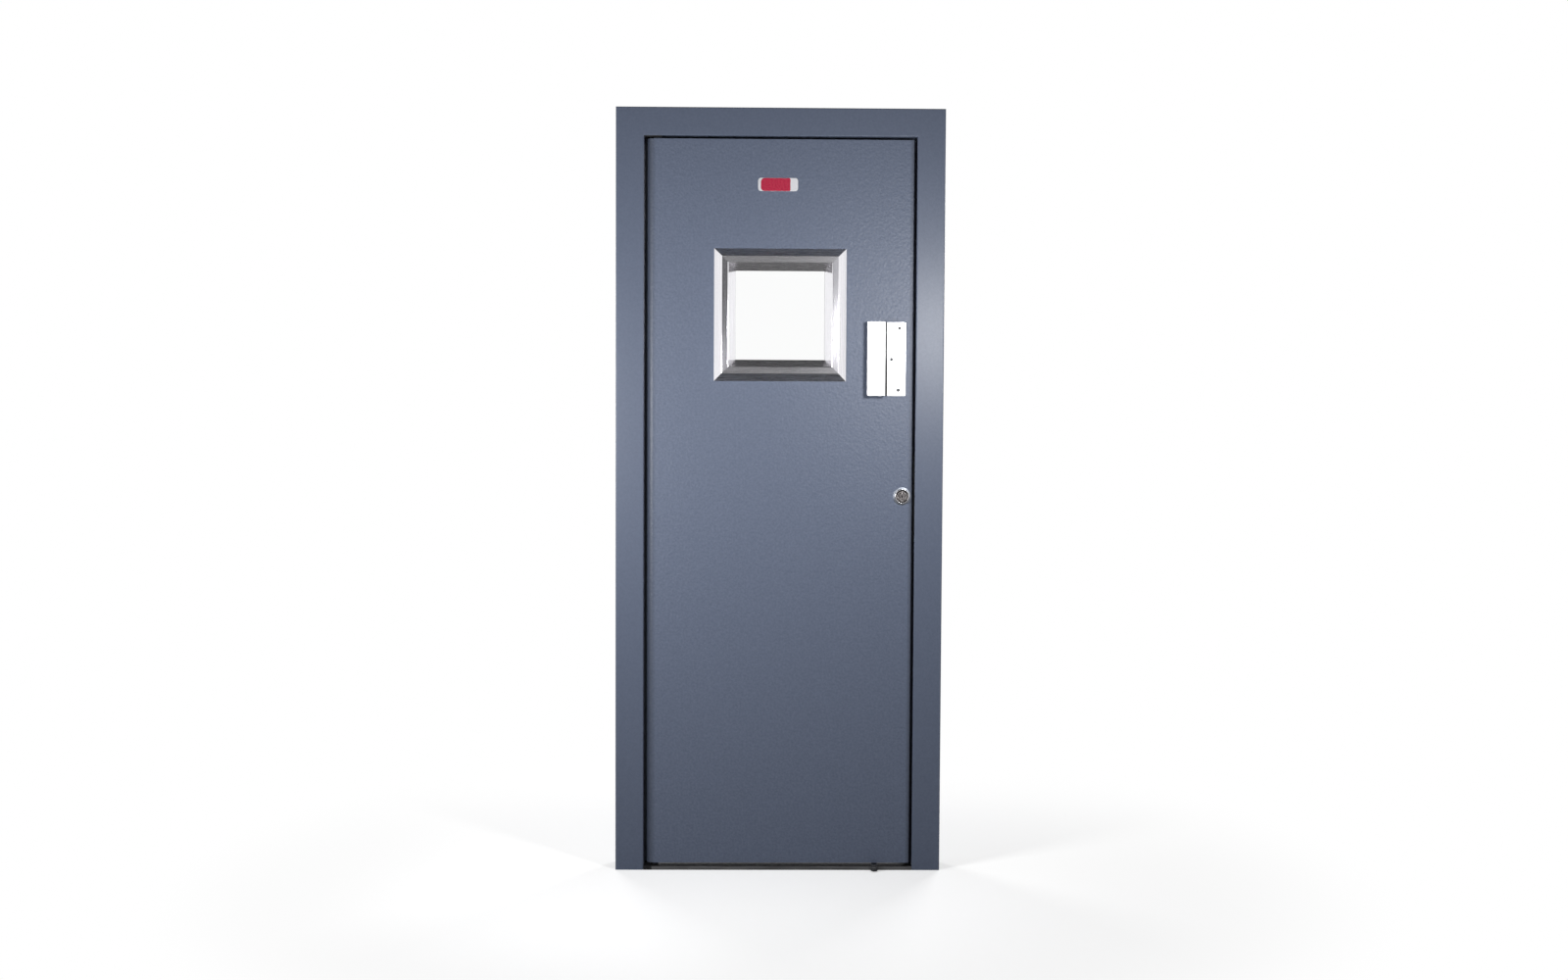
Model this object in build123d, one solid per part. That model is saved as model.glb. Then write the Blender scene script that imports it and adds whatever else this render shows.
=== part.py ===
from build123d import *
import os

os.makedirs("parts", exist_ok=True)

# Security door: one steel leaf on concealed pivots in a pressed steel frame.
# Millimetres. X runs to the right, Y from front to back and Z up. The origin is on the floor,
# midway between the jambs and midway through the frame. The leaf swings out towards -Y.

# Frame
frame_width = 900.0
frame_height = 2100.0
frame_depth = 100.0
frame_face = 77.0
frame_sheet = 2.0
fold_radius = 3.0
wall_lip = 18.0
rebate_depth = 57.0
stop_width = 20.0
sill_thickness = 10.0
corner_relief = 1.5
overshoot = 1.0

# Wall straps inside the jambs, and the bolt holes through them
strap_height = 40.0
strap_thickness = 3.0
strap_count = 3
strap_end_distance = 250.0
bolt_hole_radius = 5.5
access_hole_radius = 8.0
bolt_behind_middle = 20.0

# Rubber seal on the stop
seal_width = 9.0
seal_lip = 1.0
seal_clearance = 1.5

# Gaps round the closed leaf
side_gap = 8.0
head_gap = 8.0
sill_gap = 10.0
leaf_recess = 3.0

# Leaf
leaf_thickness = 45.0
leaf_sheet = 2.0
hinge_edge_radius = 18.0
lock_edge_radius = 2.5
smallest_radius = 0.1
cap_depth = 25.0
cap_fit = 0.1
core_fit = 0.3

# Pivots
pivot_inset = 22.0
pin_radius = 7.0
pin_chamfer = 1.0
pin_clearance = 0.05
pin_engagement = 27.0
shoulder_radius = 11.0
shoulder_gap = 0.3
bush_radius = 12.0
bush_length = 30.0
bush_fit = 0.2
pivot_plate_reach = 18.0
top_plate_thickness = 3.0
pivot_toe_width = 23.0
pivot_toe_depth = 12.0

# Glazed panel
panel_drop = 478.0
trim_size = 358.0
trim_rise = 18.0
outer_slope = 20.0
trim_land = 16.0
inner_slope = 19.0
trim_sheet = 1.5
trim_fold = 2.0
aperture_margin = 29.0
liner_thickness = 3.0
glass_thickness = 17.0
glass_fit = 0.5
gasket_thickness = 2.0
gasket_show = 1.5

# Pull handle folded from one plate
handle_height = 202.0
handle_low = 1317.0
handle_from_edge = 20.0
handle_foot = 57.0
handle_grip = 50.0
handle_stand = 30.0
handle_sheet = 3.0
handle_inner_fold = 2.0
handle_corner = 3.0

# Lock
lock_height = 1041.5
lock_backset = 27.0
rosette_radius = 24.5
rosette_thickness = 2.5
ring_radius = 20.0
ring_rise = 8.0
cylinder_radius = 14.4
cylinder_fit = 0.2
cylinder_recess = 3.0
plug_radius = 8.5
plug_length = 30.0
plug_proud = 1.0
plug_clearance = 0.05
plug_end_gap = 0.3
keyway_width = 2.4
keyway_height = 10.0
keyway_depth = 22.0
case_width = 62.0
case_thickness = 19.0
case_above = 78.0
case_below = 92.0
forend_width = 24.0
forend_thickness = 3.0
forend_overhang = 35.0
bolt_above_lock = 48.0
bolt_length = 45.0
bolt_width = 14.0
bolt_height = 30.0
bolt_fit = 0.3
strike_thickness = 2.0
strike_clearance = 2.0

# Blank plate near the top of the leaf
plate_length = 109.0
plate_height = 36.0
plate_thickness = 1.2
plate_corner = 8.0
plate_offset = -7.5
plate_drop = 123.0

# Small foot that hangs in front of the sill
foot_radius = 10.0
foot_from_edge = 97.0
foot_floor_gap = 2.0
foot_sill_gap = 5.0
foot_tongue_width = 16.0
foot_tongue_thickness = 3.0
foot_tongue_hold = 25.0

# Places that follow from the sizes above
frame_front = -frame_depth / 2
frame_back = frame_depth / 2
opening_half = frame_width / 2 - frame_face
head_underside = frame_height - frame_face
stop_front = frame_front + rebate_depth
soffit_half = opening_half - stop_width
leaf_half = opening_half - side_gap
leaf_bottom = sill_thickness + sill_gap
leaf_top = head_underside - head_gap
leaf_front = frame_front + leaf_recess
leaf_back = leaf_front + leaf_thickness
leaf_middle = (leaf_front + leaf_back) / 2
pivot_x = -leaf_half + pivot_inset
panel_height = leaf_top - panel_drop
trim_half = trim_size / 2
aperture_half = trim_half - aperture_margin
glass_view_half = trim_half - outer_slope - trim_land - inner_slope
trim_sink = (leaf_thickness - glass_thickness) / 2 - gasket_thickness
lock_x = leaf_half - lock_backset
bolt_z = lock_height + bolt_above_lock
forend_low = lock_height - case_below - forend_overhang
forend_high = lock_height + case_above + forend_overhang
bore_radius = cylinder_radius + cylinder_fit
case_back = leaf_middle + case_thickness / 2
cylinder_front = leaf_front - rosette_thickness - ring_rise + cylinder_recess
plug_front = cylinder_front - plug_proud


def block(low, high):
    """A block between its lowest and its highest corner."""
    size = [b - a for a, b in zip(low, high)]
    return Pos(*low) * Box(*size, align=(Align.MIN, Align.MIN, Align.MIN))


def rod_x(radius, low, high, y, z):
    """A round rod along X, from low to high."""
    return Pos((low + high) / 2, y, z) * Rot(0, 90, 0) * Cylinder(radius, high - low)


def rod_y(radius, low, high, x, z):
    """A round rod along Y, from low to high."""
    return Pos(x, (low + high) / 2, z) * Rot(90, 0, 0) * Cylinder(radius, high - low)


def rod_z(radius, low, high, x, y):
    """A round rod along Z, from low to high."""
    return Pos(x, y, (low + high) / 2) * Cylinder(radius, high - low)


def folded_section(points, radii, thickness, side):
    """The section of a folded sheet. Points run along one face, and the sheet lies on its given side."""
    path = FilletPolyline(*points, radius=radii)
    return make_face(offset(path, thickness, side=side).edges())


def cut_at(solid, point, away):
    """What is left of a solid behind the plane through a point, with away pointing to what goes."""
    return split(solid, bisect_by=Plane(origin=point, z_dir=away), keep=Keep.BOTTOM)


def mirrored_left_to_right(solid):
    return mirror(solid, about=Plane.YZ)


def mirrored_front_to_back(solid):
    """The same piece on the other face of the leaf."""
    return mirror(solid, about=Plane(origin=(0, leaf_middle, 0), z_dir=(0, 1, 0)))


def frame_section():
    """The left jamb's section: lip, front face, rebate, stop, soffit, back face and lip."""
    wall = -frame_width / 2
    outside = [
        (wall, frame_front + wall_lip),
        (wall, frame_front),
        (-opening_half, frame_front),
        (-opening_half, stop_front),
        (-soffit_half, stop_front),
        (-soffit_half, frame_back),
        (wall, frame_back),
        (wall, frame_back - wall_lip),
    ]
    stop_fold = fold_radius - frame_sheet
    radii = [fold_radius, fold_radius, stop_fold, fold_radius, fold_radius, fold_radius]
    return folded_section(outside, radii, frame_sheet, Side.LEFT)


def strap_heights():
    pitch = (frame_height - 2 * strap_end_distance) / (strap_count - 1)
    return [strap_end_distance + i * pitch for i in range(strap_count)]


def left_jamb():
    """A jamb mitred at the top, with a hole in its soffit in front of each wall bolt."""
    jamb = extrude(frame_section(), frame_height)
    jamb = cut_at(jamb, (-frame_width / 2, 0, frame_height), (1, 0, 1))
    for z in strap_heights():
        jamb -= rod_x(
            access_hole_radius,
            -soffit_half - frame_sheet - overshoot,
            -soffit_half + overshoot,
            bolt_behind_middle,
            z,
        )
    return jamb


def lock_jamb():
    """The right jamb, which also has the hole that the bolt enters."""
    hole = bolt_hole(opening_half - overshoot, opening_half + frame_sheet + overshoot, strike_clearance)
    return mirrored_left_to_right(left_jamb()) - hole


def frame_head():
    """The jambs' section laid along the top, mitred at both ends."""
    half = frame_width / 2
    head = Pos(-half, 0, frame_height - half) * Rot(0, 90, 0) * extrude(frame_section(), frame_width)
    head = cut_at(head, (-half, 0, frame_height), (-1, 0, -1))
    return cut_at(head, (half, 0, frame_height), (1, 0, -1))


def pivot_foot():
    """The block that fills the sill's end under the pivot: a narrow toe in front and a wide heel."""
    heel_front = frame_front + pivot_toe_depth
    toe = block(
        (-opening_half, frame_front, 0),
        (-opening_half + pivot_toe_width, heel_front, sill_thickness),
    )
    heel = block(
        (-opening_half, heel_front, 0),
        (pivot_x + pivot_plate_reach, stop_front - corner_relief, sill_thickness),
    )
    return toe + heel


def sill():
    """A flat bar between the jambs, narrower between the stops and cut out for the pivot."""
    front = block(
        (-opening_half, frame_front, 0),
        (opening_half, stop_front - corner_relief, sill_thickness),
    )
    back = block(
        (-soffit_half, stop_front - corner_relief, 0),
        (soffit_half, frame_back, sill_thickness),
    )
    return front + back - pivot_foot()


def wall_straps():
    """Flat straps across the open back of the left jamb, each with one hole for a wall bolt."""
    outer = -frame_width / 2 + frame_sheet
    half_depth = frame_depth / 2 - fold_radius
    straps = []
    for z in strap_heights():
        strap = block(
            (outer, -half_depth, z - strap_height / 2),
            (outer + strap_thickness, half_depth, z + strap_height / 2),
        )
        hole = rod_x(
            bolt_hole_radius,
            outer - overshoot,
            outer + strap_thickness + overshoot,
            bolt_behind_middle,
            z,
        )
        straps.append(strap - hole)
    return Compound(children=straps)


def seal_section():
    """A rubber strip on the left stop: flat against the steel and rounded towards the leaf."""
    low = leaf_back + seal_clearance
    middle = -(opening_half + soffit_half) / 2
    height = stop_front - low
    strip = Pos(middle, (low + stop_front) / 2) * Rectangle(seal_width, height)
    front_corners = strip.vertices().sort_by(Axis.Y)[:2]
    return fillet(front_corners, seal_width / 2 - seal_lip)


def side_seal():
    """The strip up the left stop, from the sill to the mitre under the head."""
    strip = Pos(0, 0, sill_thickness) * extrude(seal_section(), frame_height - sill_thickness)
    return cut_at(strip, (-frame_width / 2, 0, frame_height), (1, 0, 1))


def head_seal():
    """The strip along the head's stop, mitred into the side strips."""
    half = frame_width / 2
    strip = extrude(seal_section(), frame_width)
    strip = Pos(-half, 0, frame_height - half) * Rot(0, 90, 0) * strip
    strip = cut_at(strip, (-half, 0, frame_height), (-1, 0, -1))
    return cut_at(strip, (half, 0, frame_height), (1, 0, -1))


def bottom_pivot():
    """The pivot block with its shouldered pin. The leaf's bush turns just above the shoulder."""
    shoulder_top = leaf_bottom - shoulder_gap
    shoulder = rod_z(shoulder_radius, sill_thickness, shoulder_top, pivot_x, leaf_middle)
    pin = rod_z(pin_radius, shoulder_top, leaf_bottom + pin_engagement, pivot_x, leaf_middle)
    return pivot_foot() + shoulder + chamfer_end(pin, -1)


def top_pivot():
    """A plate under the head with the pin that reaches down into the leaf."""
    plate_low = head_underside - top_plate_thickness
    plate = block(
        (-opening_half, leaf_front, plate_low),
        (pivot_x + pivot_plate_reach, stop_front - corner_relief, head_underside),
    )
    pin = rod_z(pin_radius, leaf_top - pin_engagement, plate_low, pivot_x, leaf_middle)
    return plate + chamfer_end(pin, 0)


def chamfer_end(pin, end):
    """An upright pin with the edge of its free end chamfered: its upper end is -1 and its lower one 0."""
    tip = pin.faces().sort_by(Axis.Z)[end]
    return chamfer(tip.edges(), pin_chamfer)


def pivot_bush(low):
    """A bronze bush let into the leaf round a pivot pin."""
    high = low + bush_length
    bush = rod_z(bush_radius, low, high, pivot_x, leaf_middle)
    bore = rod_z(pin_radius + pin_clearance, low - overshoot, high + overshoot, pivot_x, leaf_middle)
    return bush - bore


def bush_holes():
    """What the two bushes take out of the leaf."""
    radius = bush_radius + bush_fit
    bottom = rod_z(radius, leaf_bottom - overshoot, leaf_bottom + bush_length, pivot_x, leaf_middle)
    top = rod_z(radius, leaf_top - bush_length, leaf_top + overshoot, pivot_x, leaf_middle)
    return bottom + top


def leaf_outline(inset):
    """The leaf seen from above, drawn in by inset: rounded at the pivots and nearly square at the lock."""
    outline = Pos(0, leaf_middle) * Rectangle(2 * (leaf_half - inset), leaf_thickness - 2 * inset)
    hinge_radius = max(hinge_edge_radius - inset, smallest_radius)
    lock_radius = max(lock_edge_radius - inset, smallest_radius)
    outline = fillet(outline.vertices().sort_by(Axis.X)[:2], hinge_radius)
    return fillet(outline.vertices().sort_by(Axis.X)[-2:], lock_radius)


def panel_square(half, low_y, high_y):
    """A square block round the centre of the glazed panel."""
    return block(
        (-half, low_y, panel_height - half),
        (half, high_y, panel_height + half),
    )


def bolt_hole(low_x, high_x, fit):
    """The space that the bolt takes, from low_x to high_x, with a gap of fit round it."""
    return block(
        (low_x, leaf_middle - bolt_width / 2 - fit, bolt_z - bolt_height / 2 - fit),
        (high_x, leaf_middle + bolt_width / 2 + fit, bolt_z + bolt_height / 2 + fit),
    )


def forend_space():
    """The strip of the leaf's lock edge that the forend fills."""
    return block(
        (leaf_half - forend_thickness, leaf_middle - forend_width / 2, forend_low),
        (leaf_half, leaf_middle + forend_width / 2, forend_high),
    )


def case_space():
    """The lock case's outer block, up against the forend."""
    return block(
        (
            leaf_half - forend_thickness - case_width,
            leaf_middle - case_thickness / 2,
            lock_height - case_below,
        ),
        (
            leaf_half - forend_thickness,
            leaf_middle + case_thickness / 2,
            lock_height + case_above,
        ),
    )


def lock_bore():
    """The hole for the cylinder, from the front of the leaf to the back of the lock case."""
    return rod_y(bore_radius, leaf_front - overshoot, case_back, lock_x, lock_height)


def leaf_skins():
    """The front and back sheets, which meet halfway along each edge."""
    ring = leaf_outline(0) - leaf_outline(leaf_sheet)
    both = Pos(0, 0, leaf_bottom) * extrude(ring, leaf_top - leaf_bottom)
    both -= panel_square(aperture_half, leaf_front - overshoot, leaf_back + overshoot)
    both -= lock_bore() + forend_space()
    front = cut_at(both, (0, leaf_middle, 0), (0, 1, 0))
    back = cut_at(both, (0, leaf_middle, 0), (0, -1, 0))
    return front, back


def leaf_core():
    """The stiff filling between the sheets, round the glazed panel and the lock."""
    low = leaf_bottom + cap_depth
    core = Pos(0, 0, low) * extrude(leaf_outline(leaf_sheet + core_fit), leaf_top - cap_depth - low)
    core -= panel_square(aperture_half, leaf_front, leaf_back)
    core -= bush_holes()
    return core - case_space() - forend_space() - lock_bore()


def end_cap(outer_z, inner_z):
    """A pressed tray that closes the leaf at outer_z, with its flange running in to inner_z."""
    inward = 1 if inner_z > outer_z else -1
    floor_z = outer_z + inward * leaf_sheet
    low, high = sorted((outer_z, inner_z))
    pocket_low, pocket_high = sorted((floor_z, inner_z))
    tray = Pos(0, 0, low) * extrude(leaf_outline(leaf_sheet + cap_fit), high - low)
    pocket = extrude(leaf_outline(2 * leaf_sheet + cap_fit), pocket_high - pocket_low)
    return tray - Pos(0, 0, pocket_low) * pocket - bush_holes()


def glazing_liner():
    """The steel lining of the panel's opening, which carries the glass."""
    outer = panel_square(aperture_half, leaf_front, leaf_back)
    inner = panel_square(aperture_half - liner_thickness, leaf_front - overshoot, leaf_back + overshoot)
    return outer - inner


def window_glass():
    half = aperture_half - liner_thickness - glass_fit
    return panel_square(half, leaf_middle - glass_thickness / 2, leaf_middle + glass_thickness / 2)


def front_gasket():
    """A flat rubber ring between the glass and the trim, just showing inside the trim's edge."""
    half = aperture_half - liner_thickness - glass_fit
    back = leaf_middle - glass_thickness / 2
    front = back - gasket_thickness
    ring = panel_square(half, front, back)
    return ring - panel_square(glass_view_half - gasket_show, front - overshoot, back + overshoot)


def trim_section():
    """The top trim's section in X (from the glass outwards) and Y: outer slope, land and inner slope."""
    land_start = trim_half - outer_slope
    land_end = land_start - trim_land
    land_y = leaf_front - trim_rise
    tail_y = leaf_front + trim_sink
    outer_run = outer_slope / trim_rise
    inner_run = inner_slope / (trim_rise + trim_sink)
    extra = 2 * trim_sheet
    points = [
        (trim_half + extra * outer_run, leaf_front + extra),
        (land_start, land_y),
        (land_end, land_y),
        (glass_view_half - extra * inner_run, tail_y + extra),
    ]
    sheet = folded_section(points, [trim_fold, trim_fold], trim_sheet, Side.RIGHT)
    spare = 2 * extra * outer_run
    under_skin = Pos(aperture_half, leaf_front) * Rectangle(
        trim_half - aperture_half + spare, 2 * extra, align=(Align.MIN, Align.MIN)
    )
    under_glass = Pos(aperture_half, tail_y) * Rectangle(
        aperture_half, 2 * extra, align=(Align.MAX, Align.MIN)
    )
    return sheet - under_skin - under_glass


def window_trims():
    """The front trim's four mitred bars of one folded section, by side."""
    centre = Pos(0, 0, panel_height)
    bar = Pos(trim_half, 0, 0) * Rot(0, -90, 0) * extrude(trim_section(), trim_size)
    bar = cut_at(bar, (0, 0, 0), (1, 0, -1))
    bar = cut_at(bar, (0, 0, 0), (-1, 0, -1))
    turns = {"top": 0, "right": 90, "bottom": 180, "left": 270}
    return {side: centre * Rot(0, turn, 0) * bar for side, turn in turns.items()}


def pull_handle():
    """A plate folded twice: its foot lies on the leaf and its grip stands off towards the hinges."""
    edge = leaf_half - handle_from_edge
    fold = edge - handle_foot
    foot_y = leaf_front - handle_sheet
    grip_y = foot_y - handle_stand
    front_face = [(edge, foot_y), (fold, foot_y), (fold, grip_y), (fold - handle_grip, grip_y)]
    radii = [handle_inner_fold, handle_inner_fold + handle_sheet]
    plate = extrude(folded_section(front_face, radii, handle_sheet, Side.RIGHT), handle_height)
    upright = plate.edges().filter_by(Axis.Y).group_by(Axis.X)
    return Pos(0, 0, handle_low) * fillet(upright[0] + upright[-1], handle_corner)


def lock_rosette():
    """A turned rosette: a thin round base with a raised ring about the cylinder."""
    face = leaf_front - rosette_thickness
    crest = face - ring_rise
    base = rod_y(rosette_radius, face, leaf_front, lock_x, lock_height)
    ring = rod_y(ring_radius, crest, face, lock_x, lock_height)
    bore = rod_y(bore_radius, crest - overshoot, leaf_front + overshoot, lock_x, lock_height)
    return base + ring - bore


def lock_cylinder():
    """The fixed body of the key cylinder, sunk in its ring and bored for the plug."""
    body = rod_y(cylinder_radius, cylinder_front, case_back, lock_x, lock_height)
    bore_front = cylinder_front - overshoot
    bore_back = plug_front + plug_length + plug_end_gap
    return body - rod_y(plug_radius + plug_clearance, bore_front, bore_back, lock_x, lock_height)


def lock_plug():
    """The plug with its upright keyway."""
    plug = rod_y(plug_radius, plug_front, plug_front + plug_length, lock_x, lock_height)
    keyway = block(
        (lock_x - keyway_width / 2, plug_front - overshoot, lock_height - keyway_height / 2),
        (lock_x + keyway_width / 2, plug_front + keyway_depth, lock_height + keyway_height / 2),
    )
    return plug - keyway


def lock_case():
    """The lock's closed case, bored for the cylinder and open at the edge for the bolt."""
    pocket = bolt_hole(leaf_half - bolt_length - bolt_fit, leaf_half, bolt_fit)
    return case_space() - lock_bore() - pocket


def lock_forend():
    hole_start = leaf_half - forend_thickness - overshoot
    return forend_space() - bolt_hole(hole_start, leaf_half + overshoot, bolt_fit)


def lock_bolt():
    """The dead bolt, drawn back flush with the forend."""
    return bolt_hole(leaf_half - bolt_length, leaf_half, 0)


def strike_plate():
    plate = block(
        (opening_half - strike_thickness, leaf_middle - forend_width / 2, forend_low),
        (opening_half, leaf_middle + forend_width / 2, forend_high),
    )
    hole_start = opening_half - strike_thickness - overshoot
    return plate - bolt_hole(hole_start, opening_half + overshoot, strike_clearance)


def blank_plate():
    """A plain plate with rounded corners, with nothing on it."""
    centre = (plate_offset, leaf_front, leaf_top - plate_drop)
    face = Plane(origin=centre, x_dir=(1, 0, 0), z_dir=(0, -1, 0))
    return extrude(face * RectangleRounded(plate_length, plate_height, plate_corner), plate_thickness)


def leaf_foot():
    """A round foot on a tongue screwed under the leaf. It hangs just in front of the sill."""
    x = leaf_half - foot_from_edge
    tongue_low = leaf_bottom - foot_tongue_thickness
    foot_y = frame_front - foot_sill_gap - foot_radius
    foot = rod_z(foot_radius, foot_floor_gap, leaf_bottom, x, foot_y)
    tongue = block(
        (x - foot_tongue_width / 2, foot_y, tongue_low),
        (x + foot_tongue_width / 2, leaf_front + foot_tongue_hold, leaf_bottom),
    )
    return foot + tongue


front_skin, back_skin = leaf_skins()
parts = {
    "hinge_jamb": left_jamb(),
    "lock_jamb": lock_jamb(),
    "frame_head": frame_head(),
    "sill": sill(),
    "hinge_jamb_straps": wall_straps(),
    "lock_jamb_straps": mirrored_left_to_right(wall_straps()),
    "hinge_side_seal": side_seal(),
    "lock_side_seal": mirrored_left_to_right(side_seal()),
    "head_seal": head_seal(),
    "strike_plate": strike_plate(),
    "bottom_pivot": bottom_pivot(),
    "top_pivot": top_pivot(),
    "leaf_front_skin": front_skin,
    "leaf_back_skin": back_skin,
    "leaf_core": leaf_core(),
    "leaf_bottom_cap": end_cap(leaf_bottom, leaf_bottom + cap_depth),
    "leaf_top_cap": end_cap(leaf_top, leaf_top - cap_depth),
    "bottom_pivot_bush": pivot_bush(leaf_bottom),
    "top_pivot_bush": pivot_bush(leaf_top - bush_length),
    "glazing_liner": glazing_liner(),
    "window_glass": window_glass(),
    "front_gasket": front_gasket(),
    "back_gasket": mirrored_front_to_back(front_gasket()),
    "pull_handle": pull_handle(),
    "lock_case": lock_case(),
    "lock_forend": lock_forend(),
    "lock_bolt": lock_bolt(),
    "lock_cylinder": lock_cylinder(),
    "lock_plug": lock_plug(),
    "lock_rosette": lock_rosette(),
    "blank_plate": blank_plate(),
    "leaf_foot": leaf_foot(),
}
for side, bar in window_trims().items():
    parts[f"front_trim_{side}"] = bar
    parts[f"back_trim_{side}"] = mirrored_front_to_back(bar)

for node, shape in parts.items():
    export_step(shape, f"parts/{node}.step")
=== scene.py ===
import math

import bmesh
import bpy
from mathutils import Matrix, Vector


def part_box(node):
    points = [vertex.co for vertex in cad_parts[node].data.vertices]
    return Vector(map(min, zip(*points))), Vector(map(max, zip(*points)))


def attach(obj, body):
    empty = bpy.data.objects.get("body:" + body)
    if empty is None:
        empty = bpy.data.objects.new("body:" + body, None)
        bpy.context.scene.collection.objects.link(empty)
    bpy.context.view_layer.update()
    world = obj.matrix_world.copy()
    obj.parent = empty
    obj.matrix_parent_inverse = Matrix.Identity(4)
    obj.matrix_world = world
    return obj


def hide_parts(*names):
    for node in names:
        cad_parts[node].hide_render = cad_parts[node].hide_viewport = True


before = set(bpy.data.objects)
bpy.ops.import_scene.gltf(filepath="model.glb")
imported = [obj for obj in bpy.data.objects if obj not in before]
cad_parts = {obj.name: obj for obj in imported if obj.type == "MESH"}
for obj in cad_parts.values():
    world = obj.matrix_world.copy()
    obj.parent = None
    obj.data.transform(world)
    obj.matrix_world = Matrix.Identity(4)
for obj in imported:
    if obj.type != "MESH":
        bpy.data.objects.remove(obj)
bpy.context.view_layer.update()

# Powder coat.
# The frame and both faces of the leaf are sprayed with blue-grey polyester powder and baked. On the frame
# it flows out to a smooth satin skin, a shade darker. On the leaf it sets as a grainy orange peel.
LEAF_BLUE = (0.092, 0.115, 0.172)
LEAF_PALE = (0.118, 0.143, 0.208)
LEAF_GLOSS, LEAF_DULL = 0.42, 0.52
LEAF_PEEL_WIDTH, LEAF_PEEL_DEPTH = 0.0075, 0.0010
FRAME_BLUE = (0.091, 0.113, 0.168)
FRAME_PALE = (0.104, 0.127, 0.186)
FRAME_GLOSS, FRAME_DULL = 0.37, 0.44
FRAME_PEEL_WIDTH, FRAME_PEEL_DEPTH = 0.004, 0.00006
MOTTLE_WIDTH = 0.006
SHEEN_WIDTH = 0.005


def new_finish(name, colour, roughness, metallic=0.0, **sockets):
    """A finish that starts from one colour. Its grain is wired in afterwards."""
    finish = bpy.data.materials.new(name)
    finish.use_nodes = True
    finish.diffuse_color = (*colour, 1)
    shader = finish.node_tree.nodes["Principled BSDF"]
    shader.inputs["Base Color"].default_value = (*colour, 1)
    shader.inputs["Roughness"].default_value = roughness
    shader.inputs["Metallic"].default_value = metallic
    for socket, value in sockets.items():
        shader.inputs[socket.replace("_", " ")].default_value = value
    return finish


def add_node(finish, kind, inputs=None, **settings):
    """A node in the finish, with each input either linked to a socket or set to a value."""
    node = finish.node_tree.nodes.new(kind)
    for name, value in settings.items():
        setattr(node, name, value)
    for name, value in (inputs or {}).items():
        if isinstance(value, bpy.types.NodeSocket):
            finish.node_tree.links.new(value, node.inputs[name])
        else:
            node.inputs[name].default_value = value
    return node


def wire(finish, socket, name):
    finish.node_tree.links.new(socket, finish.node_tree.nodes["Principled BSDF"].inputs[name])


def grain(finish, width, detail=2.0, stretch=(1, 1, 1)):
    """A noise over the piece whose grains are about width metres across."""
    where = add_node(finish, "ShaderNodeTexCoord")
    scaled = add_node(finish, "ShaderNodeMapping", {"Vector": where.outputs["Object"], "Scale": stretch})
    return add_node(
        finish,
        "ShaderNodeTexNoise",
        {"Vector": scaled.outputs["Vector"], "Scale": 1 / width, "Detail": detail, "Roughness": 0.5},
    ).outputs["Fac"]


def spread(finish, source, low, high, start=0.3, end=0.7):
    """The grain's values from start to end, spread from low to high."""
    return add_node(
        finish,
        "ShaderNodeMapRange",
        {"Value": source, "From Min": start, "From Max": end, "To Min": low, "To Max": high},
    ).outputs["Result"]


def tint(finish, source, first, second, start=0.35, end=0.65):
    """The base colour, going from first to second with the grain."""
    mixed = add_node(
        finish,
        "ShaderNodeMix",
        {"Factor": spread(finish, source, 0, 1, start, end), "A": (*first, 1), "B": (*second, 1)},
        data_type="RGBA",
    )
    wire(finish, mixed.outputs["Result"], "Base Color")


def relief(finish, source, depth, strength=1.0, under=None):
    """A relief of the given depth in metres, laid over another one if there is one."""
    inputs = {"Height": source, "Distance": depth, "Strength": strength}
    if under is not None:
        inputs["Normal"] = under
    return add_node(finish, "ShaderNodeBump", inputs).outputs["Normal"]


def powder_coat(name, first, second, gloss, dull, peel_width, peel_depth):
    """A coat mottled from the first colour to the second, with a peel of that width and depth and a roughness
    from gloss to dull."""
    coat = new_finish(name, first, (gloss + dull) / 2)
    tint(coat, grain(coat, MOTTLE_WIDTH, 4), first, second, 0.3, 0.7)
    wire(coat, spread(coat, grain(coat, SHEEN_WIDTH), gloss, dull), "Roughness")
    wire(coat, relief(coat, grain(coat, peel_width, 3), peel_depth), "Normal")
    return coat


frame_coat = powder_coat(
    "powder_coat_smooth", FRAME_BLUE, FRAME_PALE, FRAME_GLOSS, FRAME_DULL, FRAME_PEEL_WIDTH, FRAME_PEEL_DEPTH,
)
leaf_coat = powder_coat(
    "powder_coat_peel", LEAF_BLUE, LEAF_PALE, LEAF_GLOSS, LEAF_DULL, LEAF_PEEL_WIDTH, LEAF_PEEL_DEPTH,
)

# Pressed frame: jambs and head.
# One section folded from 2 mm galvanised sheet: wall lip, face, rebate, stop, soffit, back face and lip.
# Three lengths are mitred, welded and ground flush before coating, so no seam shows at the corners.
FRAME_LOW, FRAME_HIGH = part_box("hinge_jamb")
FRAME_WIDTH = -2 * FRAME_LOW.x
FRAME_HEIGHT = FRAME_HIGH.z
FRAME_DEPTH = FRAME_HIGH.y - FRAME_LOW.y
FRAME_SHEET = 0.002
FRAME_FACE = 0.077
STOP_WIDTH = 0.020
REBATE = 0.057
WALL_LIP = 0.018
FOLD = 0.003
WALL_BOLT_HEIGHTS = (0.25, 1.05, 1.85)
WALL_BOLT_Y = 0.02
ACCESS_HOLE = 0.008
BOLT_MARGIN = 0.002
WELD_DISTANCE = 1e-7
BROKEN_ANGLE = math.radians(40)
SHARP_ANGLE = math.radians(32)


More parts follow.
